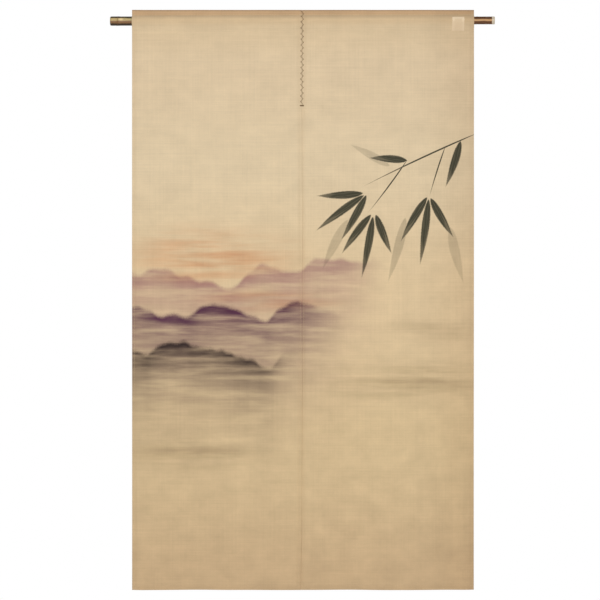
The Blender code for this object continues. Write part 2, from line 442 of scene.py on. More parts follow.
MAUVE_TINT: Colour = (0.46, 0.28, 0.46)
PURPLE_TINT: Colour = (0.17, 0.085, 0.24)
CHARCOAL_TINT: Colour = (0.055, 0.045, 0.065)
AMBER_TINT: Colour = (0.80, 0.44, 0.30)
MIST_TINT: Colour = (0.42, 0.38, 0.34)
LEAF_TINT: Colour = (0.075, 0.090, 0.085)


@dataclass(frozen=True)
class InkWash:
    """The soft painting on the cloth: hills in mist at the left, and a spray of bamboo at the right."""

    bleed_through: float = 0.45
    spray_shift: Triple = (-0.0904, 0.0916, 0.0)
    spray_scale: Triple = (1.2, 1.2, 1.0)
    washes: tuple[tuple[Colour, NodeGroup], ...] = (
        (MAUVE_TINT, RidgeWash(-0.640, 0.30, 3.3, 4.20, 0.130, 0.230, 0.90)),
        (PURPLE_TINT, RidgeWash(-0.745, 0.26, 4.2, 11.7, 0.120, 0.130, 1.15)),
        (CHARCOAL_TINT, RidgeWash(-0.850, 0.20, 5.4, 23.1, 0.075, 0.010, 1.15)),
        (AMBER_TINT, MistStreak((-0.230, -0.610, 0.0), (0.300, 0.110, 1.0), 0.75)),
        (AMBER_TINT, MistStreak((-0.090, -0.725, 0.0), (0.240, 0.036, 1.0), 0.70)),
        (MIST_TINT, MistStreak((0.270, -0.930, 0.0), (0.290, 0.070, 1.0), 0.62)),
        (MIST_TINT, MistStreak((-0.290, -1.120, 0.0), (0.250, 0.055, 1.0), 0.50)),
        (MIST_TINT, MistStreak((0.340, -0.800, 0.0), (0.200, 0.045, 1.0), 0.40)),
    )
    twigs: tuple[LeafStroke, ...] = (
        LeafStroke(0.452, -0.318, 203, 0.290, half_width=0.0022, bend=5.0),
        LeafStroke(0.300, -0.376, 236, 0.150, half_width=0.0018, bend=-4.0),
        LeafStroke(0.382, -0.347, 250, 0.120, half_width=0.0018, bend=3.0),
    )
    leaves: tuple[LeafStroke, ...] = (
        LeafStroke(0.205, -0.448, 187, 0.105, bend=-0.7),
        LeafStroke(0.207, -0.452, 214, 0.135, bend=0.6),
        LeafStroke(0.212, -0.452, 243, 0.118, bend=-0.5),
        LeafStroke(0.222, -0.494, 229, 0.110, bend=0.8),
        LeafStroke(0.226, -0.498, 262, 0.140, bend=-0.6),
        LeafStroke(0.232, -0.494, 289, 0.095, bend=0.5),
        LeafStroke(0.343, -0.456, 236, 0.120, bend=0.7),
        LeafStroke(0.346, -0.460, 264, 0.150, bend=-0.4),
        LeafStroke(0.350, -0.458, 297, 0.105, bend=0.6),
        LeafStroke(0.415, -0.335, 256, 0.110, bend=-0.8),
        LeafStroke(0.300, -0.378, 172, 0.088, bend=0.6),
    )
    pale_leaves: tuple[LeafStroke, ...] = (
        LeafStroke(0.172, -0.505, 240, 0.125, half_width=0.0130, bend=0.5, ink=0.30),
        LeafStroke(0.296, -0.500, 258, 0.150, half_width=0.0125, bend=-0.7, ink=0.34),
        LeafStroke(0.392, -0.520, 280, 0.130, half_width=0.0135, bend=0.6, ink=0.26),
        LeafStroke(0.262, -0.390, 148, 0.100, half_width=0.0110, bend=0.5, ink=0.28),
    )

    def lay(self, place: Value, right_side: Value, cloth: Value) -> Value:
        """Lays the painting on the cloth's own colour.

        Args:
            place: Where the surface is on the flat cloth.
            right_side: 1 on the painted side of the cloth and 0 on its back.
            cloth: The cloth's colour without the painting.

        Returns:
            The painted colour.
        """
        wiring = place.wiring
        strength = right_side.ramp(0.0, 1.0, self.bleed_through, 1.0)
        place = place.stretched((1.0, 1.0, 0.0))
        for tint, wash in self.washes:
            cloth = wiring.stain(cloth, tint, wash.lay(place)["cover"] * strength)
        spray = place.framed(self.spray_shift, self.spray_scale)
        strokes = self.leaves + self.twigs + self.pale_leaves
        darkest, *others = [stroke.lay(spray)["cover"] for stroke in strokes]
        for cover in others:
            darkest = wiring.math("MAXIMUM", darkest, cover)
        return wiring.stain(cloth, LEAF_TINT, darkest * strength)


@dataclass(frozen=True)
class ShadeBand:
    """A painted shade: a darkening tint that comes in over a stretch of the cloth."""

    tint: Colour
    begins: float
    ends: float


@dataclass(frozen=True)
class HempFinish:
    """Unbleached hemp: a plain weave with slubs, with painted shade: darker and warmer towards the bottom,
    darker at its header, pocket, top fold, doubled hems and right edge, and in the holes between threads.
    """

    # Painted shade: these stops darken and warm the cloth towards the bottom, over the hemp's own tone.
    tones: tuple[tuple[float, Colour], ...] = (
        (-0.03, (0.647, 0.503, 0.324)),
        (-0.12, (0.670, 0.528, 0.349)),
        (-0.36, (0.685, 0.550, 0.364)),
        (-0.72, (0.686, 0.525, 0.322)),
        (-1.08, (0.646, 0.489, 0.284)),
        (-1.50, (0.552, 0.392, 0.228)),
    )
    # Painted shade: the doubled header is darker.
    header: ShadeBand = ShadeBand((0.876, 0.797, 0.761), 0.0205, 0.0250)
    # Painted shade: the cloth over the pole is a little darker, most towards its top.
    pocket: ShadeBand = ShadeBand((0.951, 0.905, 0.848), -0.0153, 0.0085)
    # Painted shade: the right part of the cloth darkens towards its edge.
    right_edge: ShadeBand = ShadeBand((0.91, 0.885, 0.865), 0.290, 0.442)
    # Painted shade: a darker line along the top fold.
    top_fold: ShadeBand = ShadeBand((0.70, 0.68, 0.65), 0.0232, 0.0268)
    hem_tint: Colour = (0.965, 0.955, 0.945)
    thread_spacing: float = 0.0010
    weft_share: float = 0.25
    warp_share: float = 0.18
    gap_share: float = -0.10
    mottle_grows: tuple[float, float] = (-0.60, -1.30)
    mottle_shares: tuple[float, float] = (0.26, 0.36)
    roughness: float = 0.88

    def material(self, painting: InkWash) -> bpy.types.Material:
        """The cloth's material, with a painting on it."""
        skin = Skin("painted_hemp")
        place = skin.read("cloth", "Vector")
        across, along, right_side = place.parts()
        height = skin.own_place().parts()[2]
        (upper, colour), *lower_tones = self.tones
        for lower, tone in lower_tones:
            colour = skin.mix(along.ramp(upper, lower), colour, tone)
            upper = lower
        # Painted shade: darker bands over the header, the pocket, the right edge and the top fold.
        painted_shades = (self.header, self.pocket, self.right_edge, self.top_fold)
        for stain, way in zip(painted_shades, (along, along, across, height)):
            colour = skin.stain(colour, stain.tint, way.ramp(stain.begins, stain.ends))
        # Painted shade: doubled cloth, at the hems, the header and the pocket's back, is a little darker.
        colour = skin.stain(colour, self.hem_tint, skin.read("doubled"))
        colour = painting.lay(place, right_side, colour)
        threads = Slubs().lay(place)
        weave = PlainWeave(self.thread_spacing).lay(place)
        mottled = threads["mottle"].centred(along.ramp(*self.mottle_grows, *self.mottle_shares))
        slubbed = threads["weft"].centred(self.weft_share) + threads["warp"].centred(self.warp_share)
        # The holes between threads are darkened as painted shade.
        shade = slubbed + mottled + weave["gap"] * self.gap_share + 1.0
        relief = weave["height"] * 0.5 + threads["weft"] + threads["warp"]
        return skin.finished(
            {
                "Base Color": skin.scaled(colour, shade),
                "Normal": skin.bump(relief, 0.35, 0.0004),
                "Roughness": threads["mottle"].centred(0.10) + self.roughness,
                "Specular IOR Level": 0.18,
                "Sheen Weight": 0.12,
                "Sheen Roughness": 0.5,
            }
        )


@dataclass(frozen=True)
class BambooFinish:
    """Smoked bamboo with pale sawn ends and a soft gloss; a golden band along its upper front is a painted
    highlight, and the darker skin beside it is its own darker tone deepened as painted shade.
    """

    gold: Colour = (0.56, 0.33, 0.145)
    amber: Colour = (0.40, 0.20, 0.075)
    straw: Colour = (0.47, 0.36, 0.15)
    wax: Colour = (0.72, 0.54, 0.27)
    brown: Colour = (0.19, 0.085, 0.032)
    umber: Colour = (0.085, 0.024, 0.003)
    soot: Colour = (0.016, 0.011, 0.005)
    olive: Colour = (0.30, 0.26, 0.115)
    sawn: Colour = (0.68, 0.585, 0.45)
    left_look: tuple[float, float] = (0.30, -0.44)
    streak_heights: tuple[float, float] = (0.0026, 0.0008)
    streak_halves: tuple[float, float] = (0.0028, 0.0013)
    streak_fade: float = 0.0024
    streak_wobble: float = 0.004
    rim_middle: float = -0.0009
    rim: tuple[float, float] = (0.0056, 0.0078)

    def material(self) -> bpy.types.Material:
        """The pole's material, laid layer by layer over a golden base that shows mainly in the painted
        highlight band.
        """
        skin = Skin("smoked_bamboo_skin")
        place = skin.own_place()
        along, _, up = place.parts()
        fibre = place.cloudy((14.0, 900.0, 900.0), detail=3.0, roughness=0.6)
        cloud = place.cloudy((60.0, 150.0, 150.0), detail=3.0, roughness=0.6)
        patch = place.cloudy((40.0, 70.0, 70.0))
        pores = place.cloudy((60.0, 1500.0, 1500.0), detail=1.0).ramp(0.5, 0.62, 1.0, 0.62)
        leftness = along.ramp(*self.left_look)
        # A pale band beside each ring towards the left end: partly the bamboo's own pale band, partly a
        # painted highlight.
        wax = skin.read("wax") * leftness
        mould = (patch.ramp(0.44, 0.70) * (leftness - wax)).clamped()
        # Painted highlight: a band along the upper front, higher and wider at the left, keeps the golden
        # base.
        height = up + cloud.centred(self.streak_wobble)
        highlight_middle = leftness.ramp(1.0, 0.0, *self.streak_heights)
        past = abs(height - highlight_middle) - leftness.ramp(1.0, 0.0, *self.streak_halves)
        # Painted shade: the top and bottom edges of the pole are made near black, most at the left.
        rim = abs(height - self.rim_middle).ramp(*self.rim)
        cut = skin.read("cut")
        layers = (
            (fibre.ramp(0.35, 0.7), self.amber),
            (leftness * 0.85, self.straw),
            (wax, self.wax),
            (mould, self.olive),
            # Beside the highlight the skin is darker: its own darker tone, deepened as painted shade.
            (past.ramp(0.0, self.streak_fade) * 0.92, skin.mix(leftness, self.umber, self.brown)),
            (rim * leftness.ramp(0.0, 1.0, 0.25, 0.9), self.soot),
            (skin.read("ring") * 0.5, self.brown),
            (cut.ramp(0.3, 0.7), skin.scaled(self.sawn, pores)),
        )
        colour: Any = self.gold
        for cover, layer in layers:
            colour = skin.mix(cover, colour, layer)
        return skin.finished(
            {
                "Base Color": colour,
                "Roughness": cut * 0.4 + (fibre * 0.15 + 0.30),
                "Normal": skin.bump(fibre, 0.3, 0.0004),
                "Specular IOR Level": 0.32,
            }
        )


@dataclass(frozen=True)
class YarnFinish:
    """A twisted yarn, with fibres along and across it."""

    name: str
    colour: Colour
    shadow: Colour
    fibre_cells: Triple = (1500.0, 1500.0, 1500.0)
    worn_cells: Triple = (120.0, 120.0, 120.0)
    roughness: float = 0.85

    def material(self) -> bpy.types.Material:
        """The yarn's material."""
        skin = Skin(self.name)
        place = skin.own_place()
        fibres = place.cloudy(self.fibre_cells, roughness=0.6)
        worn = place.cloudy(self.worn_cells)
        depth = (fibres * 0.6 + worn * 0.4).ramp(0.3, 0.65)
        return skin.finished(
            {
                "Base Color": skin.mix(depth, self.shadow, self.colour),
                "Roughness": worn.centred(0.1) + self.roughness,
                "Normal": skin.bump(fibres, 0.5, 0.0002),
                "Specular IOR Level": 0.2,
            }
        )


@dataclass(frozen=True)
class TapeFinish:
    """A close-woven cotton tape, paler along its sides and towards its top end, and darker in the middle."""

    pale: Colour = (0.78, 0.62, 0.43)
    worn: Colour = (0.68, 0.52, 0.34)
    blotch_cells: Triple = (260.0, 260.0, 260.0)
    thread_spacing: float = 0.0005
    roughness: float = 0.85

    def material(self) -> bpy.types.Material:
        """The label's material; its cloth attribute runs from -1 to 1 across and from 0 to 1 down."""
        skin = Skin("woven_tape")
        place = skin.own_place()
        across, down, _ = skin.read("cloth", "Vector").parts()
        sides = abs(across).ramp(0.42, 0.82) * down.ramp(1.0, 0.45, 0.35, 1.0)
        edge = skin.math("MAXIMUM", sides, down.ramp(0.46, 0.26))
        blotch = place.cloudy(self.blotch_cells)
        colour = skin.mix(blotch.centred(0.5) + edge, self.worn, self.pale)
        upright = place.framed((0.0, 0.0, 0.0), (1.0, 1.0, 1.0), (-math.pi / 2, 0.0, 0.0))
        weave = PlainWeave(self.thread_spacing).lay(upright)
        return skin.finished(
            {
                # The holes between its threads are darkened as painted shade.
                "Base Color": skin.scaled(colour, weave["gap"] * -0.15 + 1.02),
                "Roughness": blotch.centred(0.1) + self.roughness,
                "Normal": skin.bump(weave["height"], 0.4, 0.0002),
                "Specular IOR Level": 0.2,
            }
        )


@dataclass(frozen=True)
class StitchRow(NodeGroup):
    """Short stitches of even pitch along every line of the shape that it is given."""

    pitch: float = 0.004
    stitch_length: float = 0.0028
    thread_radius: float = 0.0003
    name = "Stitch row"
    tree_kind = "GeometryNodeTree"
    links = {"lines": SocketKind.SHAPE, "yarn": SocketKind.FINISH}
    gives = {"stitches": SocketKind.SHAPE}
    bead_shape = {"Segments": 6, "Rings": 4, "Radius": 1.0}
    unevenness = {"Min": (0.9, 0.9, 0.84), "Max": (1.1, 1.1, 1.08), "Seed": 7}

    def wire(self, wiring: Wiring, given: dict[str, Value]) -> tuple[Value, ...]:
        """Puts a small rounded stitch on each point of the lines, slightly uneven in its length."""
        curves = wiring.make("GeometryNodeMeshToCurve", {"Mesh": given["lines"]})
        pitched = {"Curve": curves, "Length": given["pitch"]}
        points = wiring.outputs_of(wiring.add("GeometryNodeCurveToPoints", pitched, mode="LENGTH"))
        bead = wiring.make("GeometryNodeMeshUVSphere", self.bead_shape)
        rounded = wiring.make("GeometryNodeSetShadeSmooth", {0: bead})
        thick = given["thread_radius"]
        size = wiring.combined(thick, thick, given["stitch_length"] * 0.5)
        heading = {"Vector": points["Tangent"]}
        placing = {
            "Points": points["Points"],
            "Instance": wiring.make("GeometryNodeTransform", {"Geometry": rounded, "Scale": size}),
            "Rotation": wiring.make("FunctionNodeAlignRotationToVector", heading, axis="Z"),
            "Scale": wiring.make("FunctionNodeRandomValue", self.unevenness, data_type="FLOAT_VECTOR"),
        }
        return (wiring.made_real(wiring.make("GeometryNodeInstanceOnPoints", placing), given["yarn"]),)


@dataclass(frozen=True)
class TwistedThread(NodeGroup):
    """A two-ply thread swept along every line of the shape that it is given."""

    radius: float
    waist: float = 0.62
    turns_per_metre: float = 450.0
    step: float = 0.0005
    name = "Twisted thread"
    tree_kind = "GeometryNodeTree"
    links = {"lines": SocketKind.SHAPE, "yarn": SocketKind.FINISH}
    gives = {"thread": SocketKind.SHAPE}
    sides = 8

    def wire(self, wiring: Wiring, given: dict[str, Value]) -> tuple[Value, ...]:
        """Sweeps an oval that turns as it goes, so that two plies wind round each other."""
        curves = wiring.make("GeometryNodeMeshToCurve", {"Mesh": given["lines"]})
        bent = wiring.make("GeometryNodeCurveSplineType", {0: curves}, spline_type="CATMULL_ROM")
        stepped = {"Curve": bent, "Length": given["step"]}
        even = wiring.make("GeometryNodeResampleCurve", stepped, mode="LENGTH")
        run = wiring.make("GeometryNodeSplineParameter", output="Length")
        twist = run * given["turns_per_metre"] * FULL_TURN
        turned = wiring.make("GeometryNodeSetCurveTilt", {"Curve": even, "Tilt": twist})
        circle = {"Resolution": self.sides, "Radius": given["radius"]}
        ring = wiring.make("GeometryNodeCurvePrimitiveCircle", circle)
        flat = {"Geometry": ring, "Scale": wiring.combined(1.0, given["waist"], 1.0)}
        sweep = {
            "Curve": turned,
            "Profile Curve": wiring.make("GeometryNodeTransform", flat),
            "Fill Caps": True,
        }
        swept = wiring.make("GeometryNodeCurveToMesh", sweep)
        rounded = wiring.make("GeometryNodeSetShadeSmooth", {0: swept})
        return (wiring.made_real(rounded, given["yarn"]),)


def place_object(name: str, mesh: bpy.types.Mesh) -> bpy.types.Object:
    """Puts a mesh into the scene at the origin."""
    piece = bpy.data.objects.new(name, mesh)
    bpy.context.scene.collection.objects.link(piece)
    return piece


def declare(piece: bpy.types.Object, node: str | None = None) -> None:
    """Puts a piece on the noren's body, and hides the CAD node that it replaces, if there is one."""
    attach(piece, BODY)
    if node is not None:
        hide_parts(node)


def closed_mesh(
    name: str,
    points: Sequence[Any],
    faces: Sequence[tuple[int, ...]],
    marks: dict[str, list[float]],
    finish: bpy.types.Material,
) -> bpy.types.Object:
    """Makes a smooth closed piece whose points carry marks for its material.

    Args:
        name: The piece's name.
        points: Its points.
        faces: The numbers of each face's points.
        marks: For each attribute, one number or three for each point.
        finish: The piece's material.

    Returns:
        The piece.
    """
    mesh = bpy.data.meshes.new(name)
    mesh.from_pydata(points, [], faces)
    for mark, values in marks.items():
        kind, field = ("FLOAT", "value") if len(values) == len(points) else ("FLOAT_VECTOR", "vector")
        mesh.attributes.new(mark, kind, "POINT").data.foreach_set(field, values)
    work = bmesh.new()
    work.from_mesh(mesh)
    bmesh.ops.recalc_face_normals(work, faces=work.faces)
    work.to_mesh(mesh)
    work.free()
    mesh.shade_smooth()
    mesh.set_sharp_from_angle(angle=SHARP_ANGLE)
    mesh.materials.append(finish)
    return place_object(name, mesh)


def sewn_along(
    name: str, lines: Sequence[Sequence[Vector]], group: NodeGroup, yarn: bpy.types.Material
) -> bpy.types.Object:
    """Runs a geometry group along lines and keeps its result as a plain mesh.

    Args:
        name: The piece's name.
        lines: The points of each line.
        group: What is made along the lines, with its sizes.
        yarn: The material that it is made in.

    Returns:
        The finished piece.
    """
    points: list[Vector] = []
    edges = []
    for line in lines:
        edges += [(step, step + 1) for step in range(len(points), len(points) + len(line) - 1)]
        points += line
    guide = bpy.data.meshes.new(name + "_lines")
    guide.from_pydata(points, edges, [])
    host = place_object(name + "_lines", guide)
    modifier = host.modifiers.new(group.name, "NODES")
    modifier.node_group = group.tree()
    inputs = {"yarn": yarn, **vars(group)}
    for item in modifier.node_group.interface.items_tree:
        if item.in_out == "INPUT" and item.name in inputs:
            modifier[item.identifier] = inputs[item.name]
    evaluated = host.evaluated_get(bpy.context.evaluated_depsgraph_get())
    mesh = bpy.data.meshes.new_from_object(evaluated)
    mesh.name = name
    host.modifiers.remove(modifier)
    bpy.data.objects.remove(host)
    return place_object(name, mesh)


@dataclass(frozen=True)
class SheetPoint:
    """One place of a cloth: its two faces, where it was on the flat cloth, and 1 where it is doubled."""

    outer: Vector
    inner: Vector
    place: tuple[float, float]
    doubled: float = 0.0


def thin_sheet(
    name: str, columns: Sequence[Sequence[SheetPoint]], finish: bpy.types.Material
) -> bpy.types.Object:
    """Makes a closed thin cloth from a grid of places.

    Args:
        name: The piece's name.
        columns: The grid, each column with as many places as the others.
        finish: The cloth's material.

    Returns:
        The cloth, with its flat place in the cloth attribute and its doubled parts in another.
    """
    rows = len(columns[0])
    places = [point for column in columns for point in column]
    back = len(places)
    faces = []
    for first in range(0, back - rows, rows):
        for corner in range(first, first + rows - 1):
            faces.append((corner, corner + rows, corner + rows + 1, corner + 1))
            faces.append((back + corner, back + corner + 1, back + corner + rows + 1, back + corner + rows))
        for corner in (first, first + rows - 1):
            faces.append((corner, back + corner, back + corner + rows, corner + rows))
    for first in (0, back - rows):
        for corner in range(first, first + rows - 1):
            faces.append((corner, corner + 1, back + corner + 1, back + corner))
    points = [point.outer for point in places] + [point.inner for point in places]
    marks = {
        "cloth": [value for side in (1.0, 0.0) for point in places for value in (*point.place, side)],
        "doubled": [point.doubled for point in places] * 2,
    }
    return closed_mesh(name, points, faces, marks, finish)


@dataclass(frozen=True)
class Pole:
    """The bamboo pole: thicker at its left end, with its rings and its sawn hollow ends."""

    left_end: float = -0.4985
    right_end: float = 0.4955
    left_radius: float = 0.0119
    right_radius: float = 0.0101
    rise: float = 0.0018
    left_round: float = 0.0030
    right_round: float = 0.0012
    left_worn: float = 0.6
    hollow_share: float = 0.48
    hollow_depth: float = 0.018
    sides: int = 48
    step: float = 0.004
    pale_end: float = 0.0086
    pale_edge: float = 0.0012
    crease_offset: float = 0.0001
    crease_reach: float = 0.0012
    wax_offset: float = 0.0085
    wax_reach: float = 0.0065
    ring_places: tuple[float, ...] = (-0.4785, -0.311, -0.138, 0.041, 0.226, 0.418)
    ring_shape: tuple[tuple[float, float], ...] = (
        (-0.0050, 0.0),
        (-0.0026, 0.00022),
        (-0.0016, 0.00042),
        (-0.0010, 0.00050),
        (-0.0005, 0.00040),
        (-0.0001, -0.00016),
        (0.0004, -0.00010),
        (0.0010, 0.00026),
        (0.0018, 0.00034),
        (0.0034, 0.00014),
        (0.0060, 0.0),
    )
    ring_room: float = 0.0002
    groove_turn: float = 0.6
    groove_begins: float = 0.002
    groove_full: float = 0.012
    groove_length: float = 0.05
    groove_depth: float = 0.0005
    groove_spread: float = 0.42

    @property
    def length(self) -> float:
        """From end to end."""
        return self.right_end - self.left_end

    def radius_at(self, x: float) -> float:
        """The bamboo's radius between its rings."""
        share = (x - self.left_end) / self.length
        return self.left_radius + (self.right_radius - self.left_radius) * share

    def height_at(self, x: float) -> float:
        """Height of the pole's axis."""
        return self.rise * x / self.length

    def ring_rise(self, x: float) -> float:
        """How far a ring stands proud at this place."""
        for place in self.ring_places:
            for (before, low), (after, high) in zip(self.ring_shape, self.ring_shape[1:]):
                if before <= x - place <= after:
                    return low + (high - low) * (x - place - before) / (after - before)
        return 0.0

    def near_ring(self, x: float, offset: float, reach: float) -> float:
        """1 at an offset from a ring, fading away over the reach."""
        return max(math.exp(-(((x - place - offset) / reach) ** 2)) for place in self.ring_places)

    def groove(self, x: float, angle: float) -> float:
        """The shallow hollow above each ring where a branch grew, on alternate sides."""
        depth = 0.0
        for index, place in enumerate(self.ring_places):
            after = x - place
            if after > self.groove_begins:
                turn = (angle - (self.groove_turn + index * math.pi) + math.pi) % FULL_TURN - math.pi
                begun = between(after, self.groove_begins, self.groove_full)
                fades = math.exp(-after / self.groove_length) * begun
                depth += fades * math.exp(-((turn / self.groove_spread) ** 2))
        return self.groove_depth * depth

    def stations(self) -> list[float]:
        """Places along the skin, close together at the rings."""
        first = self.left_end + self.left_round
        last = self.right_end - self.right_round
        before, after = self.ring_shape[0][0] - self.ring_room, self.ring_shape[-1][0] + self.ring_room
        places = steps_from(first, last, round((last - first) / self.step))
        for ring in self.ring_places:
            places = [x for x in places if not before < x - ring < after]
            places += [ring + offset for offset, _ in self.ring_shape]
        return sorted(places)

    def profile(self) -> list[Triple]:
        """The turned profile as (x, radius, cut), where cut is 1 on sawn wood."""
        left_hole = self.left_radius * self.hollow_share
        right_hole = self.right_radius * self.hollow_share
        pale_from = self.right_end - self.pale_end
        turns = [math.radians(angle) for angle in (0, 30, 60)]
        profile = [(self.left_end + self.hollow_depth, left_hole, 1.0), (self.left_end, left_hole, 1.0)]
        for angle in turns:
            x = self.left_end + self.left_round * (1 - math.cos(angle))
            radius = self.left_radius - self.left_round * (1 - math.sin(angle))
            profile.append((x, radius, self.left_worn * math.cos(angle)))
        for x in self.stations():
            pale = between(x, pale_from - self.pale_edge, pale_from + self.pale_edge)
            profile.append((x, self.radius_at(x) + self.ring_rise(x), pale))
        for angle in reversed(turns):
            x = self.right_end - self.right_round * (1 - math.cos(angle))
            profile.append((x, self.right_radius - self.right_round * (1 - math.sin(angle)), 1.0))
        profile += [(self.right_end, right_hole, 1.0), (self.right_end - self.hollow_depth, right_hole, 1.0)]
        return profile

    def build(self, finish: bpy.types.Material) -> bpy.types.Object:
        """Makes the pole and dresses it.

        Args:
            finish: The bamboo's material.

        Returns:
            The pole, which replaces its CAD node.
        """
        points: list[Triple] = []
        marks: dict[str, list[float]] = {"cut": [], "ring": [], "wax": []}
        for x, radius, cut in self.profile():
            for side in range(self.sides):
                angle = FULL_TURN * side / self.sides
                reach = radius - (self.groove(x, angle) if cut < 1.0 else 0.0)
                points.append((x, -reach * math.sin(angle), self.height_at(x) + reach * math.cos(angle)))
            marks["cut"] += [cut] * self.sides
            marks["ring"] += [self.near_ring(x, self.crease_offset, self.crease_reach)] * self.sides
            # A pale band beside each ring, partly a painted highlight.
            marks["wax"] += [self.near_ring(x, self.wax_offset, self.wax_reach)] * self.sides
        last = len(points) - self.sides
        faces: list[tuple[int, ...]] = []
        for first in range(0, last, self.sides):
            for side in range(self.sides):
                corner, after = first + side, first + (side + 1) % self.sides
                faces.append((corner, after, after + self.sides, corner + self.sides))
        faces += [tuple(range(self.sides)), tuple(range(last, len(points)))]
        piece = closed_mesh("bamboo_pole", points, faces, marks, finish)
        declare(piece, "pole")
        return piece


@dataclass(frozen=True)
class Hang:
    """How the cloth hangs: its slow waves, its parting below the lacing, and its small crinkles."""

    half_width: float = 0.442
    top_edge: float = 0.028
    drop: float = 1.500
    pocket_seam: float = -0.0266
    waves: tuple[tuple[float, float, float, float], ...] = (
        (0.340, 0.55, 0.9, 0.7),
        (0.215, 0.30, 2.6, -1.1),
        (0.128, 0.15, 4.4, 1.6),
    )
    wave_depth: float = 0.0055
    waves_full_at: float = -1.100
    bow_depth: float = 0.0040
    bow_length: float = 1.650
    edge_curl: float = 0.0035
    curl_reach: float = 0.030
    slit_line: tuple[tuple[float, float], ...] = (
        (0.028, -0.0019),
        (-0.100, -0.0024),
        (-0.221, -0.0030),
        (-0.740, -0.0006),
        (-1.300, -0.0034),
        (-1.472, -0.0058),
    )
    slit_gap: float = 0.0002
    drawn_gap: float = 0.00002
    drawn_from: float = -0.200
    drawn_at: float = -0.217
    part_begins: float = -0.220
    part_ends: float = -0.240
    part_depth: float = 0.0007
    part_reach: float = 0.120
    lap_begins: float = -0.228
    lap_ends: float = -0.300
    lap: float = 0.004
    crinkle_depth: float = 0.00030
    crinkle_pitch: float = 0.026
    pucker_depth: float = 0.00035
    pucker_pitch: float = 0.011
    pucker_reach: float = 0.010

    @property
    def bottom_edge(self) -> float:
        """The height of the bottom fold."""
        return self.top_edge - self.drop

    def slit_x(self, z: float) -> float:
        """Where the slit runs at this height, read from its line."""
        for (upper, x_upper), (lower, x_lower) in zip(self.slit_line, self.slit_line[1:]):
            if z >= lower:
                return x_upper + (x_lower - x_upper) * between(z, upper, lower)
        return self.slit_line[-1][1]

    def slit_edge(self, z: float, side: int) -> float:
        """The x of a panel's edge at the slit."""
        lap = self.lap * between(z, self.lap_begins, self.lap_ends) if side > 0 else 0.0
        gap = self.slit_gap + (self.drawn_gap - self.slit_gap) * between(z, self.drawn_from, self.drawn_at)
        return self.slit_x(z) + side * gap / 2 - lap

    def depth(self, x: float, z: float) -> float:
        """How far back the slow waves carry the cloth from the plane under the pole."""
        freed = between(z, self.pocket_seam, self.waves_full_at)
        waves = sum(
            share * math.sin(FULL_TURN * x / length + phase + lean * z)
            for length, share, phase, lean in self.waves
        )
        bow = math.sin(FULL_TURN * (z - self.pocket_seam) / self.bow_length)
        curl = between(abs(x), self.half_width - self.curl_reach, self.half_width)
        return freed * (self.wave_depth * waves + self.bow_depth * bow + self.edge_curl * curl)

    def parting(self, x: float, z: float, side: int) -> float:
        """The left panel comes forward of the right one below the lacing, most at the slit."""
        near = 1 - between(abs(x - self.slit_x(z)), 0.0, self.part_reach)
        return side * self.part_depth * near * between(z, self.part_begins, self.part_ends)

    def crinkle(self, x: float, z: float, to_side_seam: float) -> float:
        """Small unevenness of the cloth, with puckers beside its seams.

        Args:
            x: The place across.
            z: The height.
            to_side_seam: The distance to the nearer side seam.

        Returns:
            How far back it carries the cloth.
        """
        eased = between(z, self.pocket_seam, self.pocket_seam - self.pucker_reach)
        pitch = self.crinkle_pitch
        uneven = noise.noise(Vector((x / pitch, 0.0, z / (1.4 * pitch))))
        uneven += 0.5 * noise.noise(Vector((2.1 * x / pitch, 7.0, 2.4 * z / pitch)))
        beside_hem = math.exp(-to_side_seam / self.pucker_reach)
        beside_seam = math.exp(-abs(z - self.pocket_seam) / (1.6 * self.pucker_reach))
        hem_pucker = noise.noise(Vector((3.0, z / self.pucker_pitch, 0.0))) * beside_hem
        seam_pucker = noise.noise(Vector((x / self.pucker_pitch, 5.0, 0.0))) * beside_seam
        return eased * (self.crinkle_depth * uneven + self.pucker_depth * (hem_pucker + seam_pucker))


@dataclass(frozen=True)
class FoldPoint:
    """A place on the folded strip in a section across the pole: its middle layer and its outward way."""

    y: float
    z: float
    out_y: float
    out_z: float
    doubled: float


class Seam(Enum):
    """The sewn lines that run along the pole."""

    HEADER_FRONT = "header_front"
    HEADER_BACK = "header_back"
    POCKET_FRONT = "pocket_front"
    POCKET_BACK = "pocket_back"
    HEM_FRONT = "hem_front"
    HEM_BACK = "hem_back"


class Strip:
    """The folded strip in a section across the pole, laid down from the hem's turned edge."""

    def __init__(self) -> None:
        """Starts with no points."""
        self.points: list[FoldPoint] = []
        self.seams: dict[Seam, int] = {}

    def flat(self, y: float, heights: Iterable[float], out: float, doubled: float = 0.0) -> None:
        """Adds an upright stretch whose outside is to the front (-1) or the back (1)."""
        self.points.extend(FoldPoint(y, z, out, 0.0, doubled) for z in heights)

    def arc(self, y: float, z: float, radius: float, ways: Iterable[tuple], doubled: float = 0.0) -> None:
        """Adds a round stretch about a centre, in the order of its outward ways."""
        for out_y, out_z in ways:
            place = (y + radius * out_y, z + radius * out_z)
            self.points.append(FoldPoint(*place, out_y, out_z, doubled))

    def sew(self, seam: Seam) -> None:
        """Runs a seam through the last point."""
        self.seams[seam] = len(self.points) - 1

    def lengths(self) -> list[float]:
        """How far along the strip each point lies."""
        lengths = [0.0]
        for a, b in zip(self.points, self.points[1:]):
            lengths.append(lengths[-1] + math.dist((a.y, a.z), (b.y, b.z)))
        return lengths


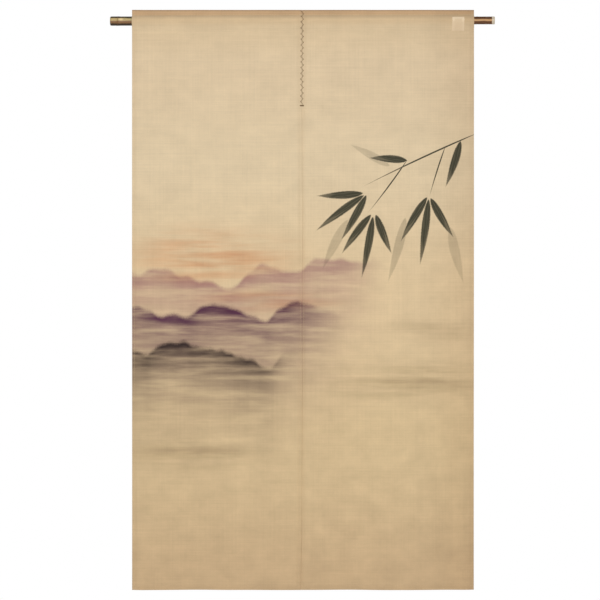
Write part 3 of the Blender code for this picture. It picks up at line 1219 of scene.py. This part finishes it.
@dataclass(frozen=True)
class Panel:
    """One hemp panel with its hems, its sewn header and its pocket for the pole."""

    side: Side
    pole: Pole
    hang: Hang
    ply: float = 0.0006
    layer_gap: float = 0.00005
    side_hem: float = 0.008
    bottom_hem: float = 0.012
    step_ramp: float = 0.0006
    header_seam: float = 0.0148
    header_stitch: float = 0.0014
    pocket_rows: Triple = (0.0040, 0.0022, 0.0008)
    turned_edge: float = -0.0315
    pocket_clearance: float = 0.0008
    arc_steps: int = 14
    fold_steps: int = 6
    hem_rows: int = 3
    header_rows: int = 4
    drop_steps: int = 232
    width_steps: int = 74
    stitch_inset: float = 0.0015
    seam_margin: int = 3
    edge_columns: tuple[float, ...] = (0.0, 0.0002, 0.0005, 0.0010, 0.0035)
    edge_thickness: float = 0.25
    edge_rounding: float = 0.8
    header_wave: float = 0.0007
    header_waves: tuple[float, float] = (0.19, 0.083)
    short_share: float = 0.6

    @property
    def name(self) -> str:
        """The word for this side."""
        return self.side.name.lower()

    @property
    def hem_top(self) -> float:
        """The height of the bottom hem's turned edge."""
        return self.hang.bottom_edge + self.bottom_hem

    @property
    def flat_size(self) -> tuple[float, float]:
        """The width and length that the panel was cut to, its hems and its pocket spread out."""
        return self.hang.half_width + 2 * self.side_hem, self.section(0.0, 0.0).lengths()[-1]

    def into_cloth(self, distance: float) -> float:
        """How far a place is from the nearer side edge, given its distance from the outer one."""
        return min(distance, self.hang.half_width - distance)

    def hem_rise(self, distance: float) -> float:
        """The extra layer folded to the back in a side hem."""
        full = 1 - (self.into_cloth(distance) - self.side_hem) / self.step_ramp
        return (self.ply + self.layer_gap) * min(max(full, 0.0), 1.0)

    def edge_share(self, distance: float) -> float:
        """How much of its thickness the cloth has as its edge rounds off."""
        round_share = min(self.into_cloth(distance) / (self.edge_rounding * self.ply), 1.0)
        return self.edge_thickness + (1 - self.edge_thickness) * math.sqrt(round_share)

    def pocket_angles(self, inner: float) -> tuple[float, float]:
        """Where the cloth leaves a pocket of this inner radius, below and above, from straight up."""
        return math.pi - math.acos(inner / -self.hang.pocket_seam), math.acos(inner / self.header_seam)

    def section(self, x: float, rise: float) -> Strip:
        """The folded strip at a place on the pole, from the hem's turned edge to the pocket's.

        Args:
            x: The place along the pole.
            rise: The thickness of a side hem's extra layer there.

        Returns:
            The strip, with its seams.
        """
        inner = self.pole.radius_at(x) + self.pocket_clearance
        axis = self.pole.height_at(x)
        middle = inner + self.ply / 2
        front = -(self.ply / 2 + self.layer_gap)
        spread = -front + rise
        angles = steps_from(*self.pocket_angles(inner), self.arc_steps)
        low, high = [axis + (middle + front * math.sin(a)) / math.cos(a) for a in (angles[0], angles[-1])]
        round_pocket = [(math.sin(angle), math.cos(angle)) for angle in angles]
        half_turn = [(math.cos(a), math.sin(a)) for a in steps_from(0.0, math.pi, self.fold_steps)]
        bottom = self.hang.bottom_edge + spread + self.ply / 2
        top = self.hang.top_edge - spread - self.ply / 2
        hem_row = self.hem_top - self.stitch_inset
        header_row = high + self.header_stitch
        last_row, pocket_row, close_row = [low - offset for offset in self.pocket_rows]
        strip = Strip()
        strip.flat(front + 2 * spread, (self.hem_top, hem_row), 1.0, 1.0)
        strip.sew(Seam.HEM_BACK)
        strip.flat(front + 2 * spread, steps_from(hem_row, bottom, self.hem_rows)[1:-1], 1.0, 1.0)
        strip.arc(front + spread, bottom, spread, [(c, -s) for c, s in half_turn], 1.0)
        strip.flat(front, steps_from(bottom, hem_row, self.hem_rows)[1:], -1.0, 1.0)
        strip.sew(Seam.HEM_FRONT)
        strip.flat(front, (self.hem_top,), -1.0, 1.0)
        strip.flat(front, steps_from(self.hem_top + self.step_ramp, last_row, self.drop_steps), -1.0)
        strip.flat(front, (pocket_row,), -1.0)
        strip.sew(Seam.POCKET_FRONT)
        strip.flat(front, (close_row, low), -1.0)
        strip.arc(0.0, axis, middle, [(-s, c) for s, c in round_pocket])
        strip.flat(-spread, (high, header_row), -1.0, 1.0)
        strip.sew(Seam.HEADER_FRONT)
        strip.flat(-spread, steps_from(header_row, top, self.header_rows)[1:-1], -1.0, 1.0)
        strip.arc(0.0, top, spread, [(-c, s) for c, s in half_turn], 1.0)
        strip.flat(spread, steps_from(top, header_row, self.header_rows)[1:], 1.0, 1.0)
        strip.sew(Seam.HEADER_BACK)
        strip.flat(spread, (high,), 1.0, 1.0)
        strip.arc(0.0, axis, middle, reversed(round_pocket))
        strip.flat(spread, (low, pocket_row), 1.0, 1.0)
        strip.sew(Seam.POCKET_BACK)
        strip.flat(spread, (self.turned_edge,), 1.0, 1.0)
        return strip

    def x_at(self, distance: float, z: float) -> float:
        """The x of the place at a distance from the panel's outer edge."""
        share = between(distance, self.side_hem, self.hang.half_width - self.side_hem)
        outer = self.side.value * (self.hang.half_width - distance)
        return outer + self.hang.slit_edge(z, self.side.value) * share

    def carry(self, x: float, z: float, distance: float) -> float:
        """How far back the cloth is carried by its hang, its crinkles and the header's own wave."""
        if z > self.header_seam:
            long, short = self.header_waves
            wave = math.sin(FULL_TURN * x / long + 1.0) + self.short_share * math.sin(FULL_TURN * x / short)
            full = between(z, self.header_seam, self.hang.top_edge)
            return self.header_wave * wave / (1 + self.short_share) * full
        if z > self.hang.pocket_seam:
            return 0.0
        to_seam = abs(self.into_cloth(distance) - self.side_hem)
        hung = self.hang.depth(x, z) + self.hang.parting(x, z, self.side.value)
        return hung + self.hang.crinkle(x, z, to_seam)

    def column(self, distance: float) -> tuple[list[SheetPoint], dict[Seam, int]]:
        """The cloth at a distance from the panel's outer edge.

        Args:
            distance: How far in the column runs.

        Returns:
            The column's points, and the number of the point that each seam runs through.
        """
        rise = self.hem_rise(distance)
        half = self.edge_share(distance) * (self.ply + rise) / 2
        strip = self.section(self.side.value * (self.hang.half_width - distance), rise)
        lengths = strip.lengths()
        below_pocket = strip.seams[Seam.POCKET_FRONT] + 1
        start = strip.points[below_pocket].z - lengths[below_pocket]
        out, back = half - rise / 2, half + rise / 2
        in_hem = 1.0 if rise > 0 else 0.0
        column = []
        for fold, length in zip(strip.points, lengths):
            x = self.x_at(distance, fold.z)
            y = fold.y + self.carry(x, fold.z, distance)
            outer = Vector((x, y + out * fold.out_y, fold.z + out * fold.out_z))
            inner = Vector((x, y - back * fold.out_y, fold.z - back * fold.out_z))
            column.append(SheetPoint(outer, inner, (x, start + length), max(fold.doubled, in_hem)))
        return column, strip.seams

    def distances(self) -> list[float]:
        """The columns' distances from the outer edge, close together where an edge rounds off."""
        width = self.hang.half_width
        hem = [*self.edge_columns, self.side_hem - self.stitch_inset, self.side_hem]
        foot = self.side_hem + self.step_ramp
        inside = steps_from(foot, width - foot, self.width_steps)
        return hem + inside + [width - edge for edge in reversed(hem)]

    def seam_lines(self, columns: Sequence[tuple[list[SheetPoint], dict[Seam, int]]]) -> list[list[Vector]]:
        """The lines of all stitches: along the pole on both faces, and down both side hems."""
        inside = columns[self.seam_margin:-self.seam_margin]
        lines = [[column[seams[seam]].outer for column, seams in inside] for seam in Seam]
        inset = self.side_hem - self.stitch_inset
        for distance in (inset, self.hang.half_width - inset):
            column, seams = self.column(distance)
            bottom, pocket = seams[Seam.HEM_FRONT], seams[Seam.POCKET_FRONT]
            top = seams[Seam.HEADER_FRONT] + self.header_rows
            past_hem = bottom + 2
            lines.append([point.outer for point in column[bottom:top]])
            lines.append([point.inner for point in column[past_hem:pocket]])
        return lines

    def build(
        self, finish: bpy.types.Material, yarn: bpy.types.Material, pole: bpy.types.Object
    ) -> list[bpy.types.Object]:
        """Args:
            finish: The cloth's material.
            yarn: The sewing thread's material.
            pole: The pole that the panel hangs from. It is not used.

        Returns:
            The cloth and its stitches.
        """
        columns = [self.column(distance) for distance in self.distances()]
        cloth = thin_sheet("cloth_" + self.name, [column for column, _ in columns], finish)
        stitches = sewn_along("seams_" + self.name, self.seam_lines(columns), StitchRow(), yarn)
        declare(cloth, "panel_" + self.name)
        declare(stitches)
        self.flat_size
        pole.name
        return [cloth, stitches]


@dataclass(frozen=True)
class Lacing:
    """The dark thread that zigzags over the slit, and the bar of stitches that ends it."""

    panel: Panel
    radius: float = 0.00046
    reach: float = 0.0042
    leg_reach: float = 0.0034
    cross: float = 0.0013
    through: float = 0.0017
    lift_share: float = 0.75
    unevenness: float = 0.10
    top: float = 0.0262
    end: float = -0.2165
    runs: int = 33
    tack_height: float = -0.2197
    tack_reach: float = 0.0044
    tack_strands: int = 5
    tack_spread: float = 0.0019
    tack_shift: float = 0.0003
    tack_path: tuple[tuple[int, float], ...] = (
        (-1, 0.0012),
        (-1, -0.0003),
        (0, -0.0006),
        (1, -0.0003),
        (1, 0.0012),
    )
    pole_clearance: float = 0.0108
    steps_below: int = 44
    steps_above: int = 7

    def front(self, x: float, z: float, proud: float = 0.0) -> float:
        """The y of a surface in front of the cloth, near the slit.

        Args:
            x: The place across.
            z: The height.
            proud: How far in front of the cloth the surface lies.

        Returns:
            The surface's y.
        """
        panel = self.panel
        inner = panel.pole.radius_at(x) + panel.pocket_clearance
        outer = inner + panel.ply + proud
        low, high = panel.pocket_angles(inner)
        height = z - panel.pole.height_at(x)
        if outer * math.cos(low) < height < outer * math.cos(high):
            pocket = -math.sqrt(outer * outer - height * height)
        else:
            angle = high if height > 0 else low
            pocket = (height * math.cos(angle) - outer) / math.sin(angle)
        layers = 2 if height > 0 else 1
        flat = -layers * (panel.ply + panel.layer_gap) - proud
        return min(flat, pocket) + panel.carry(x, z, panel.hang.half_width)

    def path(self) -> list[Vector]:
        """A herringbone stitch: each leg ends below its turn, and the next starts above and crosses it."""
        slit = self.panel.hang.slit_x
        run = (self.top - self.cross - self.end) / self.runs
        lift = self.radius * self.lift_share
        crossing = (
            (-0.75, self.leg_reach, lift),
            (-1.0, self.reach, -0.5 * self.through),
            (-0.6, self.reach, -self.through),
            (0.6, self.reach, -self.through),
            (1.0, self.reach, -0.5 * self.through),
            (0.75, self.leg_reach, 2.2 * lift),
        )
        half = len(crossing) // 2
        points = []
        for turn in range(self.runs + 1):
            side = 1 if turn % 2 else -1
            uneven = self.unevenness * math.sin(2.4 * turn)
            height = self.top - self.cross - run * (turn + 0.5 * uneven)
            reach = side * (1 + uneven)
            first = half if turn == 0 else 0
            last = half if turn == self.runs else len(crossing)
            for rise, out, proud in crossing[first:last]:
                z = height + rise * self.cross
                x = slit(z) + reach * out
                points.append(Vector((x, self.front(x, z, proud), z)))
            middle = height - run / 2
            if turn < self.runs:
                points.append(Vector((slit(middle), self.front(slit(middle), middle, 1.3 * lift), middle)))
        return points

    def tack(self) -> list[Vector]:
        """Strands laid side by side across the slit, each carried back behind the cloth."""
        middle = self.panel.hang.slit_x(self.tack_height)
        front = self.front(middle, self.tack_height)
        points = []
        for strand in range(self.tack_strands):
            z = self.tack_height + self.tack_spread * (0.5 - strand / (self.tack_strands - 1))
            shift = self.tack_shift * math.sin(2.1 * strand)
            for side, depth in self.tack_path:
                points.append(Vector((middle + side * self.tack_reach + shift, front + depth, z)))
        return points

    def backing(self) -> list[list[Vector]]:
        """The thread's way back up behind the slit, first below the pole and then above it."""
        slit = self.panel.hang.slit_x
        below = steps_from(self.tack_height, -self.pole_clearance, self.steps_below)
        above = steps_from(self.pole_clearance, self.top, self.steps_above)
        lines = []
        for heights in (below, above):
            line = []
            for z in heights:
                layers = 4 if z > self.panel.header_seam else 2
                behind = layers * (self.panel.ply + self.panel.layer_gap) + 0.6 * self.radius
                line.append(Vector((slit(z), self.front(slit(z), z) + behind, z)))
            lines.append(line)
        return lines

    def build(self, yarn: bpy.types.Material) -> bpy.types.Object:
        """Makes the lacing from its stretches of thread, and returns it."""
        lines = [self.path(), self.tack(), *self.backing()]
        piece = sewn_along("lacing_cord", lines, TwistedThread(self.radius), yarn)
        declare(piece, "lacing")
        return piece


@dataclass(frozen=True)
class Label:
    """The small blank tape sewn on the front of the right panel's pocket."""

    panel: Panel
    middle: float = 0.401
    width: float = 0.031
    thickness: float = 0.0004
    edge_thickness: float = 0.3
    edge_rounding: float = 8.0
    gap: float = 0.0001
    top_angle: float = math.radians(46)
    edge_wave: float = 0.0002
    edge_ripples: float = 9.0
    width_steps: int = 16
    length_steps: int = 20
    stitches: StitchRow = StitchRow(pitch=0.0024, stitch_length=0.0017, thread_radius=0.0002)

    def columns(self) -> list[list[SheetPoint]]:
        """The grid of the tape, bent over the pocket."""
        panel = self.panel
        inner = panel.pole.radius_at(self.middle) + panel.pocket_clearance
        outer = inner + panel.ply + self.gap
        axis = panel.pole.height_at(self.middle)
        lower, _ = panel.pocket_angles(inner)
        angles = steps_from(self.top_angle, lower, self.length_steps)
        route = [(-outer * math.sin(a), axis + outer * math.cos(a), a) for a in angles]
        foot = -panel.ply - panel.layer_gap - self.gap
        route.append((foot, axis + (outer + foot * math.sin(lower)) / math.cos(lower), lower))
        grid = []
        for share in steps_from(-1.0, 1.0, self.width_steps):
            rounding = min(1.0, self.edge_rounding * (1 - abs(share)))
            lift = self.thickness * (self.edge_thickness + (1 - self.edge_thickness) * rounding)
            column = []
            for index, (y, z, angle) in enumerate(route):
                ripple = self.edge_wave * math.sin(self.edge_ripples * angle + share)
                inner_point = Vector((self.middle + share * self.width / 2 + ripple, y, z))
                out = Vector((0.0, -math.sin(angle), math.cos(angle)))
                place = (share, index / (len(route) - 1))
                column.append(SheetPoint(inner_point + out * lift, inner_point, place))
            grid.append(column)
        return grid

    def border(self, grid: Sequence[Sequence[SheetPoint]]) -> list[list[Vector]]:
        """The line of stitches just inside the tape's edges."""
        ends = [[column[row].outer for column in grid[1:-1]] for row in (1, -2)]
        sides = [[point.outer for point in grid[column][1:-1]] for column in (1, -2)]
        return ends + sides

    def build(
        self, finish: bpy.types.Material, yarn: bpy.types.Material, cloth: bpy.types.Object
    ) -> list[bpy.types.Object]:
        """Args:
            finish: The tape's material.
            yarn: Its sewing thread's material.
            cloth: The panel that it is sewn to. It is not used.

        Returns:
            The tape and its stitches.
        """
        grid = self.columns()
        tape = thin_sheet("tape_label", grid, finish)
        stitches = sewn_along("label_stitches", self.border(grid), self.stitches, yarn)
        declare(tape, "label")
        declare(stitches)
        length = sum((a.inner - b.inner).length for a, b in zip(grid[0], grid[0][1:]))
        cloth.name
        return [tape, stitches]


@dataclass(frozen=True)
class Lamp:
    """A large soft lamp: its place, what it points at, its size and its power."""

    name: str
    place: Triple
    aim: Triple
    size: float
    power: float
    colour: Colour = (1.0, 1.0, 1.0)


@dataclass(frozen=True)
class Studio:
    """A white room with a pale floor, soft lamps, and a camera level with the middle of the curtain."""

    lens: float = 135.0
    sensor: float = 36.0
    view_width: float = 1.5513
    view_x: float = -0.0078
    view_z: float = -0.7220
    floor_height: float = -1.820
    floor_corners: tuple[tuple[float, float], ...] = ((-2.4, -2.4), (2.4, -2.4), (2.4, 2.2), (-2.4, 2.2))
    floor_colour: Colour = (0.86, 0.85, 0.83)
    backdrop: float = 1.0
    fill: float = 0.315
    lamps: tuple[Lamp, ...] = (
        Lamp("key", (-0.20, -3.6, -0.42), (0.0, 0.0, -0.42), 2.6, 75.5, (1.0, 0.99, 0.97)),
        Lamp("top", (-0.30, -2.6, 2.2), (0.0, 0.0, -0.30), 1.0, 31.5),
        Lamp("back", (0.8, 3.2, 0.6), (0.0, 0.0, -0.6), 2.4, 80.0),
    )

    def build(self) -> None:
        """Makes the camera, the lamps, the room's light and the floor."""
        scene = bpy.context.scene
        scene.view_settings.view_transform = "Standard"
        camera_data = bpy.data.cameras.new("camera")
        camera_data.lens = self.lens
        camera_data.sensor_width = self.sensor
        camera = bpy.data.objects.new("camera", camera_data)
        camera.location = (self.view_x, -self.view_width * self.lens / self.sensor, self.view_z)
        camera.rotation_euler = (math.pi / 2, 0.0, 0.0)
        scene.collection.objects.link(camera)
        scene.camera = camera
        for lamp in self.lamps:
            self.light(lamp)
        self.room()
        self.floor()

    def light(self, lamp: Lamp) -> None:
        """Hangs one square lamp that the camera doesn't see."""
        data = bpy.data.lights.new(lamp.name, "AREA")
        data.shape = "SQUARE"
        data.size = lamp.size
        data.energy = lamp.power
        data.color = lamp.colour
        made = bpy.data.objects.new(lamp.name, data)
        made.location = lamp.place
        made.rotation_euler = (Vector(lamp.aim) - Vector(lamp.place)).to_track_quat("-Z", "Y").to_euler()
        made.visible_camera = False
        bpy.context.scene.collection.objects.link(made)

    def room(self) -> None:
        """White where the camera looks past the curtain, and dimmer as a light."""
        world = bpy.data.worlds.new("white_room")
        world.use_nodes = True
        wiring = Wiring(world.node_tree)
        background = world.node_tree.nodes["Background"]
        seen = wiring.make("ShaderNodeLightPath", output="Is Camera Ray")
        wiring.feed(background.inputs["Color"], (1.0, 1.0, 1.0))
        wiring.feed(background.inputs["Strength"], seen * (self.backdrop - self.fill) + self.fill)
        bpy.context.scene.world = world

    def floor(self) -> None:
        """A plain pale floor below the curtain, out of the front view."""
        mesh = bpy.data.meshes.new("floor")
        mesh.from_pydata([(x, y, self.floor_height) for x, y in self.floor_corners], [], [(0, 1, 2, 3)])
        skin = Skin("pale_floor")
        shade = skin.own_place().cloudy((40.0, 40.0, 40.0), detail=3.0) * 0.04 + 0.98
        mesh.materials.append(
            skin.finished({"Base Color": skin.scaled(self.floor_colour, shade), "Roughness": 0.8})
        )
        place_object("floor", mesh)


def main() -> None:
    """Builds the noren piece by piece around its frame, and then its studio."""
    logging.basicConfig(level=logging.INFO, format="%(name)s: %(message)s")
    hemp = HempFinish().material(InkWash())
    sewing = YarnFinish("sewing_thread", (0.68, 0.545, 0.36), (0.52, 0.40, 0.25)).material()
    dark = YarnFinish("dark_lacing_thread", (0.170, 0.090, 0.035), (0.060, 0.028, 0.011)).material()
    pale = YarnFinish("label_thread", (0.86, 0.75, 0.55), (0.66, 0.53, 0.35)).material()
    pole = Pole()
    bamboo = pole.build(BambooFinish().material())
    left, right = [Panel(side, pole, Hang()) for side in Side]
    left_pieces = left.build(hemp, sewing, bamboo)
    right_pieces = right.build(hemp, sewing, bamboo)
    lacing = Lacing(right).build(dark)
    label_pieces = Label(right).build(TapeFinish().material(), pale, right_pieces[0])
    for piece in (bamboo, *left_pieces, *right_pieces, lacing, *label_pieces):
        log.info("%s: %d faces", piece.name, len(piece.data.polygons))
    Studio().build()


if __name__ == "__main__":
    main()
